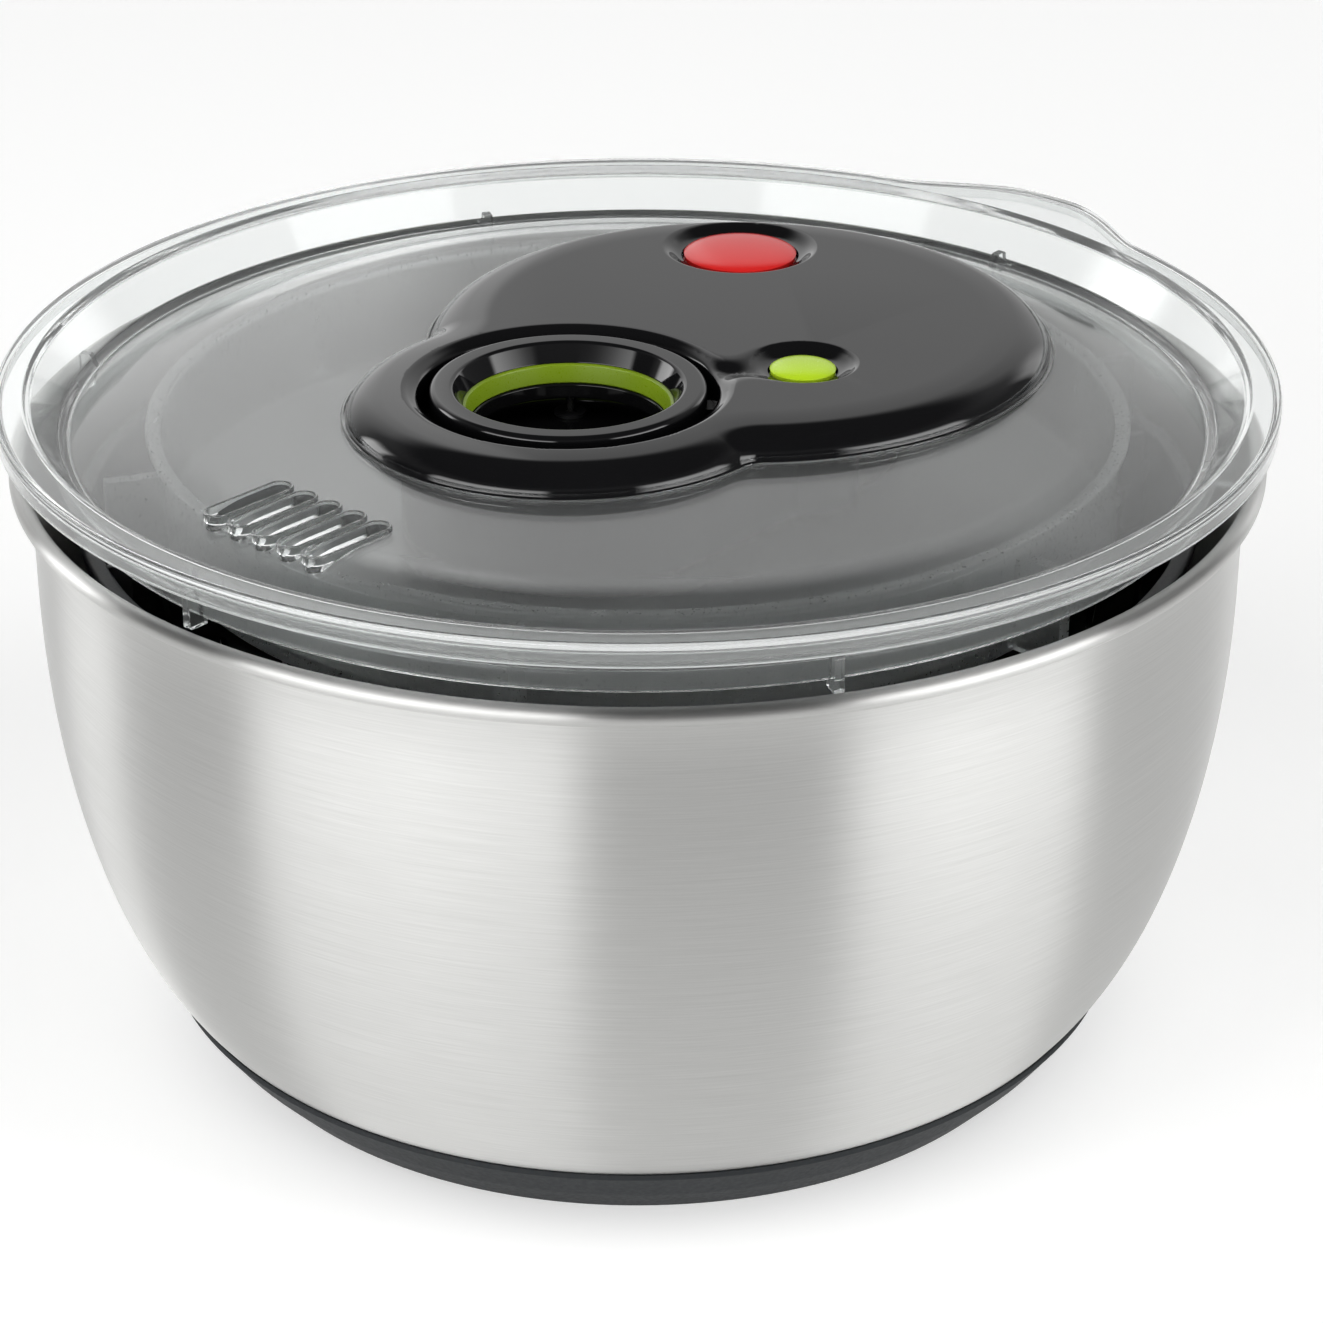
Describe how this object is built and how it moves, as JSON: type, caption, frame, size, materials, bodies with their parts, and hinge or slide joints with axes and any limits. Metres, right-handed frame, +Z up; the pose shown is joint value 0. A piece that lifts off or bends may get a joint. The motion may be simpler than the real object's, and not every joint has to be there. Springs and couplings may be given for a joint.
{
  "type": "salad spinner",
  "caption": "Steel bowl with rubber base, slotted spinning basket and clear lid carrying a pull-ring cord drive, brake button and ring release.",
  "frame": {"origin": "middle of the rubber base's underside, on the bowl's axis", "axes": "+Z up along the bowl's axis; +Y from the pull ring past the drive cover's large lobe to the lid's finger tab; +X completes a right-handed frame"},
  "size_m": [0.264, 0.274, 0.1474],
  "materials": {
    "brushed_steel": "stainless steel brushed around the bowl, polished rim",
    "base_rubber": "dark grey non-slip rubber, satin",
    "clear_plastic": "clear styrene acrylonitrile, polished",
    "frosted_plastic": "hazy translucent plastic, satin",
    "black_gloss": "black ABS, high gloss",
    "black_satin": "black moulded plastic, satin",
    "basket_plastic": "black polypropylene, satin",
    "red_plastic": "red ABS, gloss",
    "lime_plastic": "lime green plastic, gloss",
    "natural_nylon": "natural acetal, satin",
    "pin_steel": "bright steel",
    "spring_steel": "spring steel",
    "sintered_bronze": "sintered bronze",
    "ferrule_brass": "crimped brass",
    "cord_fibre": "black braided polyester cord"
  },
  "bodies": {
    "bowl": {"bowl": "brushed_steel", "non_slip_base": "base_rubber", "bowl_pivot": "pin_steel"},
    "basket": {"basket": "basket_plastic", "basket_bearing": "natural_nylon"},
    "lid": {"lid": "clear_plastic", "drive_cover": "black_gloss", "drive_base": "black_satin", "housing_screws": "pin_steel", "drum_axle": "pin_steel", "output_bush": "sintered_bronze", "cord_guide": "black_satin", "pulley_pin": "pin_steel", "spring_cap": "black_satin", "return_spring": "spring_steel", "pull_cord_run": "cord_fibre"},
    "driver": {"driver_disc": "frosted_plastic", "clutch_cover": "black_satin", "clutch_screws": "pin_steel", "pawl_pins": "pin_steel"},
    "pawl_front": {"pawl_front": "natural_nylon"},
    "pawl_rear": {"pawl_rear": "natural_nylon"},
    "pinion": {"pinion": "natural_nylon", "ratchet_wheel": "pin_steel", "thrust_washer": "sintered_bronze", "retaining_clip": "spring_steel"},
    "drum": {"cord_drum": "natural_nylon", "drive_gear": "natural_nylon", "cord_winding": "cord_fibre"},
    "pulley": {"guide_pulley": "natural_nylon"},
    "pull_ring": {"pull_ring": "black_gloss", "ring_insert": "lime_plastic", "cord_ferrule": "ferrule_brass", "pull_cord_riser": "cord_fibre"},
    "brake_button": {"brake_button": "red_plastic", "brake_pad": "base_rubber", "brake_spring": "spring_steel"},
    "release_button": {"release_button": "lime_plastic", "release_spring": "spring_steel"},
    "ring_catch": {"ring_catch": "black_satin"}
  },
  "joints": [
    {"name": "lid_lift", "type": "slide", "parent": "bowl", "child": "lid", "axis": [0, 0, 1], "range_m": [-0.012, 0.15]},
    {"name": "basket_spin", "type": "hinge", "parent": "bowl", "child": "basket", "pos_m": [0, 0, 0.02], "axis": [0, 0, -1], "continuous": true},
    {"name": "driver_spin", "type": "hinge", "parent": "lid", "child": "driver", "pos_m": [0, 0, 0.1138], "axis": [0, 0, -1], "range_deg": [0, 3600]},
    {"name": "pinion_spin", "type": "hinge", "parent": "lid", "child": "pinion", "pos_m": [0, 0, 0.1188], "axis": [0, 0, -1], "range_deg": [0, 3600]},
    {"name": "drum_spin", "type": "hinge", "parent": "lid", "child": "drum", "pos_m": [0, 0.032, 0.1218], "axis": [0, 0, 1], "range_deg": [0, 1200]},
    {"name": "pulley_spin", "type": "hinge", "parent": "lid", "child": "pulley", "pos_m": [-0.01675, 0.00076, 0.1246], "axis": [-1, 0, 0], "range_deg": [0, 5361]},
    {"name": "ring_pull", "type": "slide", "parent": "lid", "child": "pull_ring", "axis": [0, 0, 1], "range_m": [0, 0.351], "stiffness_N_per_m": 12, "springref_m": -0.08, "deforming": ["pull_cord_riser"]},
    {"name": "brake_press", "type": "slide", "parent": "lid", "child": "brake_button", "axis": [0, 0, 1], "range_m": [-0.003, 0], "stiffness_N_per_m": 700, "springref_m": 0.002, "deforming": ["brake_spring"]},
    {"name": "release_press", "type": "slide", "parent": "lid", "child": "release_button", "axis": [0, 0, 1], "range_m": [-0.0025, 0], "stiffness_N_per_m": 500, "springref_m": 0.002, "deforming": ["release_spring"]},
    {"name": "catch_slide", "type": "slide", "parent": "lid", "child": "ring_catch", "axis": [0.5482, 0.8364, 0], "range_m": [0, 0.0012]},
    {"name": "pawl_front_lift", "type": "hinge", "parent": "driver", "child": "pawl_front", "pos_m": [0.0156, 0.00568, 0.1083], "axis": [0, 0, 1], "range_deg": [0, 6], "stiffness_Nm_per_rad": 0.004, "springref_deg": -5.73},
    {"name": "pawl_rear_lift", "type": "hinge", "parent": "driver", "child": "pawl_rear", "pos_m": [-0.0156, -0.00568, 0.1083], "axis": [0, 0, 1], "range_deg": [0, 6], "stiffness_Nm_per_rad": 0.004, "springref_deg": -5.73}
  ],
  "couplings": [
    {"joint": "basket_spin", "follows": "driver_spin", "ratio": 1},
    {"joint": "pinion_spin", "follows": "driver_spin", "ratio": 1},
    {"joint": "drum_spin", "follows": "driver_spin", "ratio": 0.33333},
    {"joint": "pulley_spin", "follows": "driver_spin", "ratio": 1.4889},
    {"joint": "ring_pull", "follows": "driver_spin", "m_per_rad": 0.0055833},
    {"joint": "catch_slide", "follows": "release_press", "ratio": -0.48}
  ]
}
